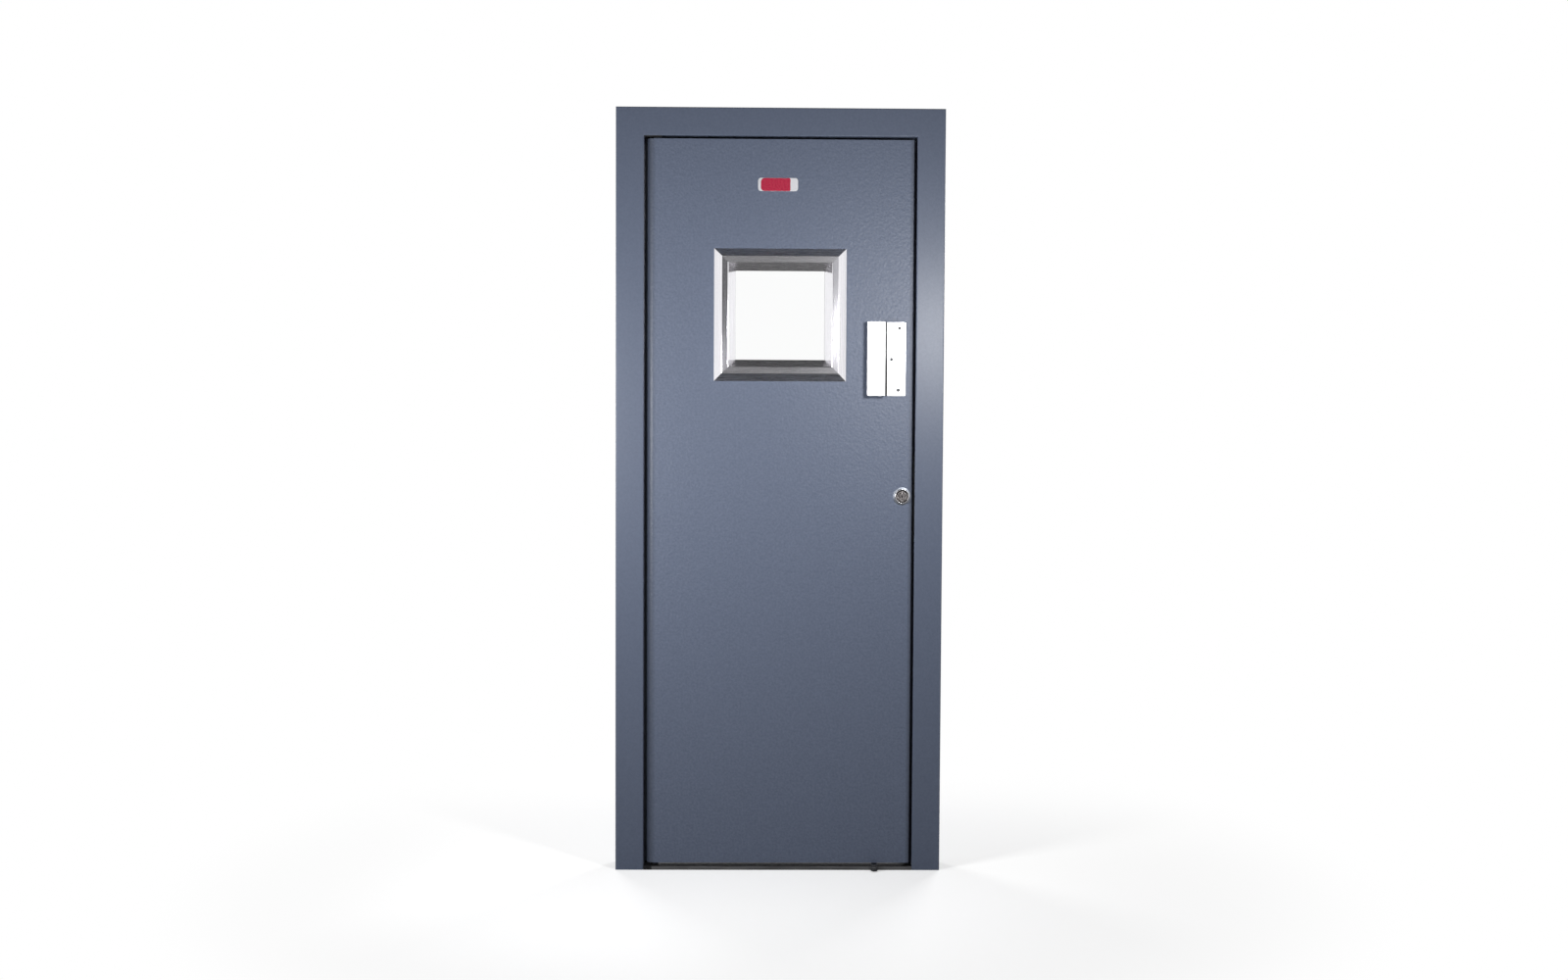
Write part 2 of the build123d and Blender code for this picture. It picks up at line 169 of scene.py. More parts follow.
def folded_line(corners, radii, steps=8):
    """One face of a folded sheet in section, as (point, normal to its left) pairs with an arc at each fold."""
    corners = [Vector(c) for c in corners]
    ways = [(b - a).normalized() for a, b in zip(corners, corners[1:])]
    line = [(corners[0], left_of(ways[0]))]
    for corner, way_in, way_out, radius in zip(corners[1:], ways, ways[1:], radii):
        angle = way_in.angle(way_out)
        turn = 1 if way_in.cross(way_out) > 0 else -1
        start = corner - way_in * radius * math.tan(angle / 2)
        centre = start + left_of(way_in) * radius * turn
        for i in range(steps + 1):
            part = i / steps
            way = way_in * math.sin((1 - part) * angle) + way_out * math.sin(part * angle)
            side = left_of(way.normalized())
            line.append((centre - side * radius * turn, side))
    line.append((corners[-1], left_of(ways[-1])))
    return line


def left_of(way):
    return Vector((-way.y, way.x))


def sheet_loop(line, thickness):
    """The whole outline of the sheet, which lies on the left of its line where thickness is above 0."""
    return [p for p, side in line] + [p + side * thickness for p, side in reversed(line)]


def new_piece(name, verts, faces, finish, body, nodes, slot):
    """A piece of the door from its points and faces, with its finish, riding on its body."""
    mesh = bpy.data.meshes.new(name)
    mesh.from_pydata([tuple(v) for v in verts], [], faces)
    mesh.validate()
    edit = bmesh.new()
    edit.from_mesh(mesh)
    bmesh.ops.remove_doubles(edit, verts=edit.verts, dist=WELD_DISTANCE)
    bmesh.ops.recalc_face_normals(edit, faces=edit.faces)
    edit.to_mesh(mesh)
    edit.free()
    mesh.materials.append(finish)
    piece = bpy.data.objects.new(name, mesh)
    bpy.context.scene.collection.objects.link(piece)
    if nodes:
        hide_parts(*nodes)
    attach(piece, body)
    return piece


def swept(name, loop, ends, finish, body, nodes, slot):
    """A closed section carried between two or more places, each a function from its points to the door's."""
    count = len(loop)
    verts = [place(*point) for place in ends for point in loop]
    faces = [tuple(range(count)), tuple(range(len(verts) - count, len(verts)))]
    for step in range(len(ends) - 1):
        for i in range(count):
            a, b = step * count + i, step * count + (i + 1) % count
            faces.append((a, b, b + count, a + count))
    return new_piece(name, verts, faces, finish, body, nodes, slot)


def keep_result(piece):
    """Turns the piece's modifiers into its mesh."""
    graph = bpy.context.evaluated_depsgraph_get()
    made = bpy.data.meshes.new_from_object(
        piece.evaluated_get(graph), preserve_all_data_layers=True, depsgraph=graph
    )
    piece.modifiers.clear()
    piece.data = made


def cut_out(piece, cutters):
    """Takes each cutter's space out of the piece. A cutter is a list of points and a list of faces."""
    for verts, faces in cutters:
        mesh = bpy.data.meshes.new("cutter")
        mesh.from_pydata([tuple(v) for v in verts], [], faces)
        edit = bmesh.new()
        edit.from_mesh(mesh)
        bmesh.ops.recalc_face_normals(edit, faces=edit.faces)
        edit.to_mesh(mesh)
        edit.free()
        cutter = bpy.data.objects.new("cutter", mesh)
        bpy.context.scene.collection.objects.link(cutter)
        cut = piece.modifiers.new("cut", "BOOLEAN")
        cut.object, cut.operation, cut.solver = cutter, "DIFFERENCE", "EXACT"
        bpy.context.view_layer.update()
        keep_result(piece)
        bpy.data.objects.remove(cutter)


def prism(outline, start, end):
    """The points and faces of a solid between an outline at start and the same outline at end."""
    count = len(outline)
    verts = [start + p for p in outline] + [end + p for p in outline]
    faces = [tuple(range(count)), tuple(range(count, 2 * count))]
    faces += [(i, (i + 1) % count, (i + 1) % count + count, i + count) for i in range(count)]
    return verts, faces


def round_hole(centre, radius, reach, steps=48):
    """A round cutter on centre, with reach as the half of its length."""
    across = reach.orthogonal().normalized() * radius
    ring = [Matrix.Rotation(2 * math.pi * i / steps, 3, reach) @ across for i in range(steps)]
    return prism(ring, centre - reach, centre + reach)


def box_cutter(low, high):
    x0, y0, z0 = low
    x1, y1, z1 = high
    outline = [Vector((x, y, 0)) for x, y in ((x0, y0), (x1, y0), (x1, y1), (x0, y1))]
    return prism(outline, Vector((0, 0, z0)), Vector((0, 0, z1)))


def break_edges(piece, width, segments=2):
    bevel = piece.modifiers.new("broken_edges", "BEVEL")
    bevel.width, bevel.segments = width, segments
    bevel.limit_method, bevel.angle_limit = "ANGLE", BROKEN_ANGLE
    return bevel


def soften(piece, width=0, segments=2):
    """Breaks the piece's sharp edges by width, if there is one, and shades it smoothly between them."""
    if width:
        break_edges(piece, width, segments).miter_outer = "MITER_ARC"
        keep_result(piece)
    piece.data.shade_smooth()
    piece.data.set_sharp_from_angle(angle=SHARP_ANGLE)
    weighted = piece.modifiers.new("flat_faces", "WEIGHTED_NORMAL")
    weighted.keep_sharp = True
    weighted.weight = 100


frame_line = folded_line(
    [
        (0, -FRAME_DEPTH / 2 + WALL_LIP),
        (0, -FRAME_DEPTH / 2),
        (FRAME_FACE, -FRAME_DEPTH / 2),
        (FRAME_FACE, -FRAME_DEPTH / 2 + REBATE),
        (FRAME_FACE + STOP_WIDTH, -FRAME_DEPTH / 2 + REBATE),
        (FRAME_FACE + STOP_WIDTH, FRAME_DEPTH / 2),
        (0, FRAME_DEPTH / 2),
        (0, FRAME_DEPTH / 2 - WALL_LIP),
    ],
    [FOLD, FOLD, FOLD - FRAME_SHEET, FOLD, FOLD, FOLD],
)
frame_loop = sheet_loop(frame_line, FRAME_SHEET)


def at_left(u, y, z):
    return Vector((-FRAME_WIDTH / 2 + u, y, z))


def at_right(u, y, z):
    return Vector((FRAME_WIDTH / 2 - u, y, z))


hinge_jamb = swept(
    "hinge_jamb_folded",
    frame_loop,
    [lambda u, y: at_left(u, y, 0), lambda u, y: at_left(u, y, FRAME_HEIGHT - u)],
    frame_coat, "frame", ["hinge_jamb"], "frame_steel",
)
lock_jamb = swept(
    "lock_jamb_folded",
    frame_loop,
    [lambda u, y: at_right(u, y, 0), lambda u, y: at_right(u, y, FRAME_HEIGHT - u)],
    frame_coat, "frame", ["lock_jamb"], "frame_steel",
)
frame_head = swept(
    "frame_head_folded",
    frame_loop,
    [lambda u, y: at_left(u, y, FRAME_HEIGHT - u), lambda u, y: at_right(u, y, FRAME_HEIGHT - u)],
    frame_coat, "frame", ["frame_head"], "frame_steel",
)
soffit_x = FRAME_WIDTH / 2 - FRAME_FACE - STOP_WIDTH
for jamb, side in ((hinge_jamb, -1), (lock_jamb, 1)):
    cut_out(jamb, [
        round_hole(Vector((side * soffit_x, WALL_BOLT_Y, z)), ACCESS_HOLE, Vector((3 * FRAME_SHEET, 0, 0)))
        for z in WALL_BOLT_HEIGHTS
    ])
BOLT_LOW, BOLT_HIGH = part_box("lock_bolt")
reveal_x = FRAME_WIDTH / 2 - FRAME_FACE
cut_out(lock_jamb, [box_cutter(
    (reveal_x - 2 * FRAME_SHEET, BOLT_LOW.y - BOLT_MARGIN, BOLT_LOW.z - BOLT_MARGIN),
    (reveal_x + 2 * FRAME_SHEET, BOLT_HIGH.y + BOLT_MARGIN, BOLT_HIGH.z + BOLT_MARGIN),
)])
for piece in (hinge_jamb, lock_jamb, frame_head):
    soften(piece)

# Wall straps.
# Short flats of bare galvanised steel, welded across the open back of each jamb. A wall bolt goes through
# each one, and is reached with a socket through the round hole in the soffit.
ZINC_LIGHT = (0.52, 0.54, 0.56)
ZINC_DARK = (0.36, 0.38, 0.41)
SPANGLES_PER_METRE = 90.0

galvanised = new_finish("galvanised_sheet", ZINC_LIGHT, 0.45, 0.85)
spangle = add_node(galvanised, "ShaderNodeTexVoronoi", {
    "Vector": add_node(galvanised, "ShaderNodeTexCoord").outputs["Object"], "Scale": SPANGLES_PER_METRE,
})
tint(galvanised, spangle.outputs["Color"], ZINC_DARK, ZINC_LIGHT, 0.0, 1.0)
wire(galvanised, spread(galvanised, grain(galvanised, 0.004), 0.35, 0.55), "Roughness")
wire(galvanised, relief(galvanised, grain(galvanised, 0.0012), 0.00005), "Normal")


def carried_over(node, finish, width=0.0005):
    """A CAD node whose shape is right: it gets its finish, and its edges are broken."""
    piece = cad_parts[node]
    piece.data.materials.clear()
    piece.data.materials.append(finish)
    if width:
        break_edges(piece, width).harden_normals = True


for node in ("hinge_jamb_straps", "lock_jamb_straps"):
    carried_over(node, galvanised)

# Sill.
# A flat bar of plain grey steel between the jambs, scuffed along its front, with painted shade on its top
# under the leaf. The leaf closes over it with a gap, and its left end is cut out round the pivot.
SILL_GREY = (0.075, 0.075, 0.078)
SILL_WORN = (0.18, 0.18, 0.185)
SILL_PAINTED_SHADE = 0.05
SILL_SHADE_START = 0.003
SILL_SHADE_FADE = 0.001
SILL_LOW, SILL_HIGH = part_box("sill")

sill_steel = new_finish("sill_steel", SILL_GREY, 0.6, 0.2)
tint(sill_steel, grain(sill_steel, 0.004, 4, (0.06, 1, 1)), SILL_GREY, SILL_WORN, 0.35, 0.85)


def shade_strip(finish, axis, start, end, share, fade):
    """Darkens the finish to a share of itself between two places along an axis, fading out beyond them."""
    across = add_node(finish, "ShaderNodeSeparateXYZ", {
        0: add_node(finish, "ShaderNodeTexCoord").outputs["Object"],
    }).outputs[axis]
    middle, reach = (start + end) / 2, (end - start) / 2
    apart = add_node(finish, "ShaderNodeMath", {0: across, 1: middle}, operation="SUBTRACT").outputs["Value"]
    apart = add_node(finish, "ShaderNodeMath", {0: apart}, operation="ABSOLUTE").outputs["Value"]
    shade = spread(finish, apart, share, 1.0, reach, reach + fade)
    colour_input = finish.node_tree.nodes["Principled BSDF"].inputs["Base Color"]
    darker = add_node(finish, "ShaderNodeVectorMath", {
        0: colour_input.links[0].from_socket, "Scale": shade,
    }, operation="SCALE")
    wire(finish, darker.outputs["Vector"], "Base Color")


# Painted shade: the sill is darkened nearly to black between its front and back faces, for the shade under the
# leaf.
shade_strip(sill_steel, "Y", SILL_LOW.y + SILL_SHADE_START, SILL_HIGH.y - SILL_SHADE_START, SILL_PAINTED_SHADE, SILL_SHADE_FADE)
wire(sill_steel, spread(sill_steel, grain(sill_steel, 0.01, 3), 0.4, 0.62), "Roughness")
wire(sill_steel, relief(sill_steel, grain(sill_steel, 0.0015, 2, (0.05, 1, 1)), 0.00008), "Normal")
carried_over("sill", sill_steel, 0.0008)

# Pivots.
# The leaf has no hinges. It turns on a steel pin at the bottom and one at the top, each on a blackened
# plate screwed to the frame inside the gap, so only the toe of the lower one shows.
PIVOT_BLACK = (0.022, 0.023, 0.026)
PIVOT_GREY = (0.060, 0.062, 0.068)

blackened = new_finish("blackened_steel", PIVOT_BLACK, 0.42, 0.6)
tint(blackened, grain(blackened, 0.008, 4), PIVOT_BLACK, PIVOT_GREY, 0.3, 0.8)
wire(blackened, spread(blackened, grain(blackened, 0.003), 0.35, 0.55), "Roughness")
wire(blackened, relief(blackened, grain(blackened, 0.001), 0.00004), "Normal")
for node in ("bottom_pivot", "top_pivot"):
    carried_over(node, blackened, 0.0004)

# Door seal.
# A soft black rubber strip is glued to the stop on three sides, rounded towards the leaf and mitred in the
# corners. The closed leaf stands just clear of it.
SEAL_WIDTH = 0.009
SEAL_EDGE = 0.001
RUBBER_BLACK = (0.018, 0.019, 0.022)
RUBBER_GREY = (0.036, 0.038, 0.044)

black_rubber = new_finish("black_rubber", RUBBER_BLACK, 0.62, 0.0)
tint(black_rubber, grain(black_rubber, 0.006, 3), RUBBER_BLACK, RUBBER_GREY)
wire(black_rubber, spread(black_rubber, grain(black_rubber, 0.002), 0.5, 0.75), "Roughness")
wire(black_rubber, relief(black_rubber, grain(black_rubber, 0.0008), 0.00005), "Normal")

SEAL_LOW, SEAL_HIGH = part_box("hinge_side_seal")
seal_mid = (SEAL_LOW.x + SEAL_HIGH.x) / 2 + FRAME_WIDTH / 2
stop_y, seal_front = SEAL_HIGH.y, SEAL_LOW.y
seal_radius = SEAL_WIDTH / 2 - SEAL_EDGE
seal_line = folded_line(
    [
        (seal_mid - SEAL_WIDTH / 2, stop_y),
        (seal_mid - SEAL_WIDTH / 2, seal_front),
        (seal_mid + SEAL_WIDTH / 2, seal_front),
        (seal_mid + SEAL_WIDTH / 2, stop_y),
    ],
    [seal_radius, seal_radius],
)
seal_loop = [p for p, side in seal_line]
sill_top = SEAL_LOW.z
for node, ends in (
    ("hinge_side_seal", [
        lambda u, y: at_left(u, y, sill_top), lambda u, y: at_left(u, y, FRAME_HEIGHT - u),
    ]),
    ("lock_side_seal", [
        lambda u, y: at_right(u, y, sill_top), lambda u, y: at_right(u, y, FRAME_HEIGHT - u),
    ]),
    ("head_seal", [
        lambda u, y: at_left(u, y, FRAME_HEIGHT - u), lambda u, y: at_right(u, y, FRAME_HEIGHT - u),
    ]),
):
    soften(swept(node + "_strip", seal_loop, ends, black_rubber, "frame", [node], "seal_rubber"))

# Strike plate, forend and dead bolt.
# The forend is let into the leaf's lock edge, and the strike plate lies on the jamb opposite it, in dark
# blackened steel whose colour is painted shade for the gap.
# Each is held by two countersunk screws. Forend and bolt are nickel-plated, and the bolt is drawn back.
NICKEL = (0.56, 0.55, 0.52)
NICKEL_DARK = (0.42, 0.41, 0.39)
SCREW_HEAD = 0.0042
SCREW_SINK = 0.0006
SCREW_RIM = 0.0001
SCREW_DOME = 0.0008
SCREW_SLOT = 0.0009
SLOT_SHARE = 0.62
PLATE_SCREW_FROM_END = 0.014
PLATE_SCREW_DOME = 0.0004

nickel = new_finish("nickel_plated_steel", NICKEL, 0.3, 1.0)
tint(nickel, grain(nickel, 0.006, 3, (1, 1, 0.1)), NICKEL_DARK, NICKEL, 0.3, 0.6)
wire(nickel, spread(nickel, grain(nickel, 0.002, 2, (1, 1, 0.05)), 0.24, 0.38), "Roughness")
wire(nickel, relief(nickel, grain(nickel, 0.0006, 2, (1, 1, 0.03)), 0.00002), "Normal")
# Painted shade: the strike plate and its screws take the dark blackened finish for the shade in the gap.
carried_over("strike_plate", blackened, 0.0003)
for node in ("lock_forend", "lock_bolt"):
    carried_over(node, nickel, 0.0003)


def turned(name, profile, place, axis, finish, body, nodes, slot, steps=64):
    """A turned piece. Its profile is (radius, height) points, closed on the axis or on itself."""
    axis = Vector(axis).normalized()
    across = axis.orthogonal().normalized()
    spokes = [Matrix.Rotation(2 * math.pi * i / steps, 3, axis) @ across for i in range(steps)]
    verts = [Vector(place) + axis * height + spoke * radius for spoke in spokes for radius, height in profile]
    count = len(profile)
    faces = []
    for i in range(steps):
        for j in range(count):
            a, b = i * count + j, i * count + (j + 1) % count
            c, d = ((i + 1) % steps) * count + (j + 1) % count, ((i + 1) % steps) * count + j
            faces.append((a, b, c, d))
    return new_piece(name, verts, faces, finish, body, nodes, slot)


def cross_screw(name, place, axis, radius, finish, body, slot, dome=SCREW_DOME):
    """A screw head with a shallow dome and a cross recess, sunk by a hair into what it holds."""
    profile = [(0.0, -SCREW_SINK), (radius, -SCREW_SINK), (radius, SCREW_RIM)]
    profile += [
        (radius * math.cos(a), SCREW_RIM + dome * math.sin(a))
        for a in (math.radians(d) for d in (15, 30, 45, 60, 75))
    ]
    profile += [(0.0, SCREW_RIM + dome)]
    head = turned(name, profile, place, axis, finish, body, None, slot, 40)
    axis = Vector(axis).normalized()
    along = axis.orthogonal().normalized()
    side = axis.cross(along)
    cutters = []
    for a, b in ((along, side), (side, along)):
        outline = [
            a * radius * SLOT_SHARE * s + b * SCREW_SLOT / 2 * t
            for s, t in ((-1, -1), (1, -1), (1, 1), (-1, 1))
        ]
        floor, above = Vector(place) + axis * SCREW_RIM, Vector(place) + axis * (dome + 0.001)
        cutters.append(prism(outline, floor, above))
    cut_out(head, cutters)
    soften(head, SCREW_RIM, 1)


for node, body, face_x, way, finish in (
    ("lock_forend", "leaf", 1, 1, nickel), ("strike_plate", "frame", 0, -1, blackened)
):
    low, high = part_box(node)
    x = (low.x, high.x)[face_x]
    for end, z in (("low", low.z + PLATE_SCREW_FROM_END), ("high", high.z - PLATE_SCREW_FROM_END)):
        cross_screw(
            f"{node}_{end}_screw", (x, (low.y + high.y) / 2, z), (way, 0, 0), SCREW_HEAD, finish, body,
            "lock_steel", PLATE_SCREW_DOME,
        )

# Leaf sheets.
# Two 2 mm sheets are pressed round the leaf and meet halfway along each edge. The hinge edge is rounded
# so that it can turn inside the rebate. The lock edge is nearly square.
LEAF_LOW, LEAF_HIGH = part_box("leaf_front_skin")
LEAF_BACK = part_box("leaf_back_skin")[1].y
LEAF_SHEET = 0.002
HINGE_EDGE = 0.018
LOCK_EDGE = 0.0025
EDGE_SHADE = 0.55
HINGE_SHADE_WIDTH, HINGE_SHADE_FADE = 0.010, 0.015
LOCK_SHADE_WIDTH, LOCK_SHADE_FADE = 0.002, 0.010
LOCK_BORE = 0.0146
SKIN_STEPS = 10
CUT_REACH = 0.010
leaf_half = LEAF_HIGH.x
leaf_middle = (LEAF_LOW.y + LEAF_BACK) / 2
# Painted shade: the coat is darkened in a strip along the rounded hinge edge and a narrower one along the lock
# edge.
shade_strip(leaf_coat, "X", -leaf_half, -leaf_half + HINGE_SHADE_WIDTH, EDGE_SHADE, HINGE_SHADE_FADE)
shade_strip(leaf_coat, "X", leaf_half - LOCK_SHADE_WIDTH, leaf_half, EDGE_SHADE, LOCK_SHADE_FADE)
PANE_LOW, PANE_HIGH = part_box("glazing_liner")
FOREND_LOW, FOREND_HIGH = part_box("lock_forend")
CYLINDER_LOW, CYLINDER_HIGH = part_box("lock_cylinder")
lock_x = (CYLINDER_LOW.x + CYLINDER_HIGH.x) / 2
lock_z = (CYLINDER_LOW.z + CYLINDER_HIGH.z) / 2


def leaf_sheet(name, face_y, node):
    """One of the two sheets, open for the window and the forend."""
    way = 1 if face_y > leaf_middle else -1
    line = folded_line(
        [(-leaf_half, leaf_middle), (-leaf_half, face_y), (leaf_half, face_y), (leaf_half, leaf_middle)],
        [HINGE_EDGE, LOCK_EDGE],
        SKIN_STEPS,
    )
    sheet = swept(
        name, sheet_loop(line, LEAF_SHEET * -way),
        [lambda x, y: Vector((x, y, LEAF_LOW.z)), lambda x, y: Vector((x, y, LEAF_HIGH.z))],
        leaf_coat, "leaf", [node], "leaf_steel",
    )
    cut_out(sheet, [
        box_cutter(
            (PANE_LOW.x, face_y - CUT_REACH, PANE_LOW.z),
            (PANE_HIGH.x, face_y + CUT_REACH, PANE_HIGH.z),
        ),
        box_cutter(
            (FOREND_LOW.x, FOREND_LOW.y, FOREND_LOW.z),
            (FOREND_HIGH.x + CUT_REACH, FOREND_HIGH.y, FOREND_HIGH.z),
        ),
    ])
    return sheet


front_sheet = leaf_sheet("leaf_front_sheet", LEAF_LOW.y, "leaf_front_skin")
back_sheet = leaf_sheet("leaf_back_sheet", LEAF_BACK, "leaf_back_skin")
cut_out(front_sheet, [round_hole(Vector((lock_x, LEAF_LOW.y, lock_z)), LOCK_BORE, Vector((0, CUT_REACH, 0)))])
for piece in (front_sheet, back_sheet):
    soften(piece)

# Filling and end caps.
# A paper honeycomb is glued between the sheets and stiffens them. Pressed trays of bare zinc-coated sheet
# close the leaf at the top and the bottom.
PAPER_BROWN = (0.40, 0.27, 0.15)
PAPER_DARK = (0.20, 0.13, 0.07)
CELLS_PER_METRE = 60.0

honeycomb = new_finish("paper_honeycomb", PAPER_BROWN, 0.85)
cells = add_node(honeycomb, "ShaderNodeTexVoronoi", {
    "Vector": add_node(honeycomb, "ShaderNodeTexCoord").outputs["Object"],
    "Scale": CELLS_PER_METRE, "Randomness": 0.15,
}, feature="DISTANCE_TO_EDGE")
tint(honeycomb, cells.outputs["Distance"], PAPER_DARK, PAPER_BROWN, 0.02, 0.10)
wire(honeycomb, relief(honeycomb, cells.outputs["Distance"], 0.002), "Normal")
carried_over("leaf_core", honeycomb, 0)
for node in ("leaf_bottom_cap", "leaf_top_cap", "glazing_liner", "lock_case"):
    carried_over(node, galvanised, 0.0003)

# Pivot bushes.
# Two bronze bushes are pressed into the leaf's hinge edge, and the pins turn in them.
BRONZE_LIGHT = (0.55, 0.33, 0.13)
BRONZE_DARK = (0.34, 0.19, 0.08)

bronze = new_finish("bronze", BRONZE_LIGHT, 0.33, 1.0)
tint(bronze, grain(bronze, 0.003, 3), BRONZE_DARK, BRONZE_LIGHT)
wire(bronze, spread(bronze, grain(bronze, 0.001), 0.26, 0.42), "Roughness")
for node in ("bottom_pivot_bush", "top_pivot_bush"):
    carried_over(node, bronze, 0.0002)

# Glass and gaskets.
# One clear laminated pane stands in a steel-lined opening. A flat black rubber ring on each side beds it
# against the trims, and shows as a thin line inside them.
GLASS_LOW, GLASS_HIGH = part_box("window_glass")
GLASS_TINT = (0.995, 1.0, 0.998)
GLASS_CORNER = 0.002
GLASS_ARRIS = 0.0008
WINDOW_VIEW = 0.124
GASKET_SHOW = 0.0015
GASKET_CORNER = 0.001
GASKET_ARRIS = 0.0003
window_x = (PANE_LOW.x + PANE_HIGH.x) / 2
window_z = (PANE_LOW.z + PANE_HIGH.z) / 2

clear_glass = new_finish(
    "clear_glass", GLASS_TINT, 0.0, Transmission_Weight=1.0, IOR=1.45, Specular_IOR_Level=0.25,
)
wire(clear_glass, spread(clear_glass, grain(clear_glass, 0.03), 0.0, 0.02), "Roughness")


def square_outline(half, radius, steps=6):
    """A square round the middle of the window with rounded corners, in x and z."""
    corners = []
    for quarter in range(4):
        turn = math.pi / 2 * quarter
        centre = Vector((math.cos(turn + math.pi / 4), math.sin(turn + math.pi / 4)))
        centre *= (half - radius) * math.sqrt(2)
        corners += [
            centre + radius * Vector((math.cos(a), math.sin(a)))
            for a in (turn + math.pi / 2 * i / steps for i in range(steps + 1))
        ]
    return corners


glass_half = (GLASS_HIGH.x - GLASS_LOW.x) / 2
pane = swept(
    "window_pane",
    [(p.x, p.y) for p in square_outline(glass_half, GLASS_CORNER, 4)],
    [
        lambda x, z: Vector((window_x + x, GLASS_LOW.y, window_z + z)),
        lambda x, z: Vector((window_x + x, GLASS_HIGH.y, window_z + z)),
    ],
    clear_glass, "leaf", ["window_glass"], "glass",
)
soften(pane, GLASS_ARRIS)


def square_ring(outer, inner, low_y, high_y):
    """The points and faces of a flat square ring round the window, between low_y and high_y."""
    verts = [
        Vector((window_x + p.x, y, window_z + p.y))
        for half in (outer, inner) for y in (low_y, high_y) for p in square_outline(half, GASKET_CORNER)
    ]
    count = len(verts) // 4
    faces = []
    for first, second in ((0, 1), (1, 3), (3, 2), (2, 0)):
        for i in range(count):
            j = (i + 1) % count
            faces.append((first * count + i, first * count + j, second * count + j, second * count + i))
    return verts, faces


for side in ("front", "back"):
    low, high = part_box(f"{side}_gasket")
    gasket = new_piece(
        f"{side}_gasket_ring",
        *square_ring((high.x - low.x) / 2, WINDOW_VIEW - GASKET_SHOW, low.y, high.y),
        black_rubber, "leaf", [f"{side}_gasket"], "seal_rubber",
    )
    soften(gasket, GASKET_ARRIS)

# Window trims.
# Each side of the window has four mitred bars of brushed stainless steel, folded to an outer slope, a flat
# land and an inner slope that runs down to the glass. The brushing runs along each bar.
TRIM_HALF = 0.179
TRIM_RISE = 0.018
OUTER_SLOPE = 0.020
TRIM_LAND = 0.016
TRIM_SHEET = 0.0015
TRIM_FOLD = 0.002
TRIM_TAIL = 0.012
ACROSS_LIGHT = (0.71, 0.70, 0.72)
ACROSS_DARK = (0.59, 0.58, 0.60)
ACROSS_GLOSS, ACROSS_DULL, ACROSS_SCRATCH = 0.20, 0.33, 0.00002
UPRIGHT_LIGHT = (0.94, 0.93, 0.96)
UPRIGHT_DARK = (0.82, 0.81, 0.84)
UPRIGHT_GLOSS, UPRIGHT_DULL, UPRIGHT_SCRATCH = 0.10, 0.15, 0.000006
SCRATCH_STRETCH = 0.012


def brushed_steel(name, along, light, dark, gloss, dull, depth):
    """Stainless steel with long fine scratches along x or z, which draw its highlights out across them."""
    stretch = [1.0, 1.0, 1.0]
    stretch["xyz".index(along)] = SCRATCH_STRETCH
    steel = new_finish(name, light, (gloss + dull) / 2, 1.0, Anisotropic=0.85)
    tint(steel, grain(steel, 0.0016, 4, stretch), dark, light, 0.3, 0.7)
    wire(steel, spread(steel, grain(steel, 0.0010, 3, stretch), gloss, dull), "Roughness")
    wire(steel, relief(steel, grain(steel, 0.0005, 3, stretch), depth), "Normal")
    across = add_node(
        steel, "ShaderNodeVectorTransform", {"Vector": (0, 0, 1) if along == "x" else (1, 0, 0)},
        vector_type="VECTOR", convert_from="OBJECT", convert_to="WORLD",
    )
    wire(steel, across.outputs["Vector"], "Tangent")
    return steel


# Painted shade and painted light: the same steel is darker on the bars across the top and bottom and paler on
# the upright bars.
trim_across_painted_shade = brushed_steel(
    "brushed_steel_across_painted_shade", "x", ACROSS_LIGHT, ACROSS_DARK, ACROSS_GLOSS, ACROSS_DULL, ACROSS_SCRATCH,
)
trim_upright_painted_light = brushed_steel(
    "brushed_steel_upright_painted_light", "z", UPRIGHT_LIGHT, UPRIGHT_DARK, UPRIGHT_GLOSS, UPRIGHT_DULL, UPRIGHT_SCRATCH,
)


def trim_loop(face_y, way):
    """The trim's section as (distance from the window's middle, y). way is -1 in front and 1 behind."""
    land_y = face_y + way * TRIM_RISE
    tail_y = face_y - way * TRIM_TAIL
    line = folded_line(
        [
            (TRIM_HALF, face_y),
            (TRIM_HALF - OUTER_SLOPE, land_y),
            (TRIM_HALF - OUTER_SLOPE - TRIM_LAND, land_y),
            (WINDOW_VIEW, tail_y),
        ],
        [TRIM_FOLD, TRIM_FOLD],
    )
    outside = [p for p, side in line]
    inside = [p - side * TRIM_SHEET * way for p, side in line]
    for end, beyond, y in ((0, 1, face_y), (-1, -2, tail_y)):
        slope = inside[end] - inside[beyond]
        inside[end] = inside[beyond] + slope * (y - inside[beyond].y) / slope.y
    return outside + inside[::-1]


TRIM_BARS = {"top": 0, "right": 90, "bottom": 180, "left": 270}
for side, face_y, way in (("front", LEAF_LOW.y, -1), ("back", LEAF_BACK, 1)):
    loop = trim_loop(face_y, way)
    for bar, degrees in TRIM_BARS.items():
        turn = Matrix.Rotation(math.radians(degrees), 3, "Y")
        centre = Vector((window_x, 0, window_z))
        trim = swept(
            f"{side}_trim_bar_{bar}",
            loop,
            [
                lambda r, y, t=turn: centre + t @ Vector((-r, y, r)),
                lambda r, y, t=turn: centre + t @ Vector((r, y, r)),
            ],
            trim_across_painted_shade if bar in ("top", "bottom") else trim_upright_painted_light,
            "leaf", [f"{side}_trim_{bar}"], "trim_steel",
        )
        soften(trim)

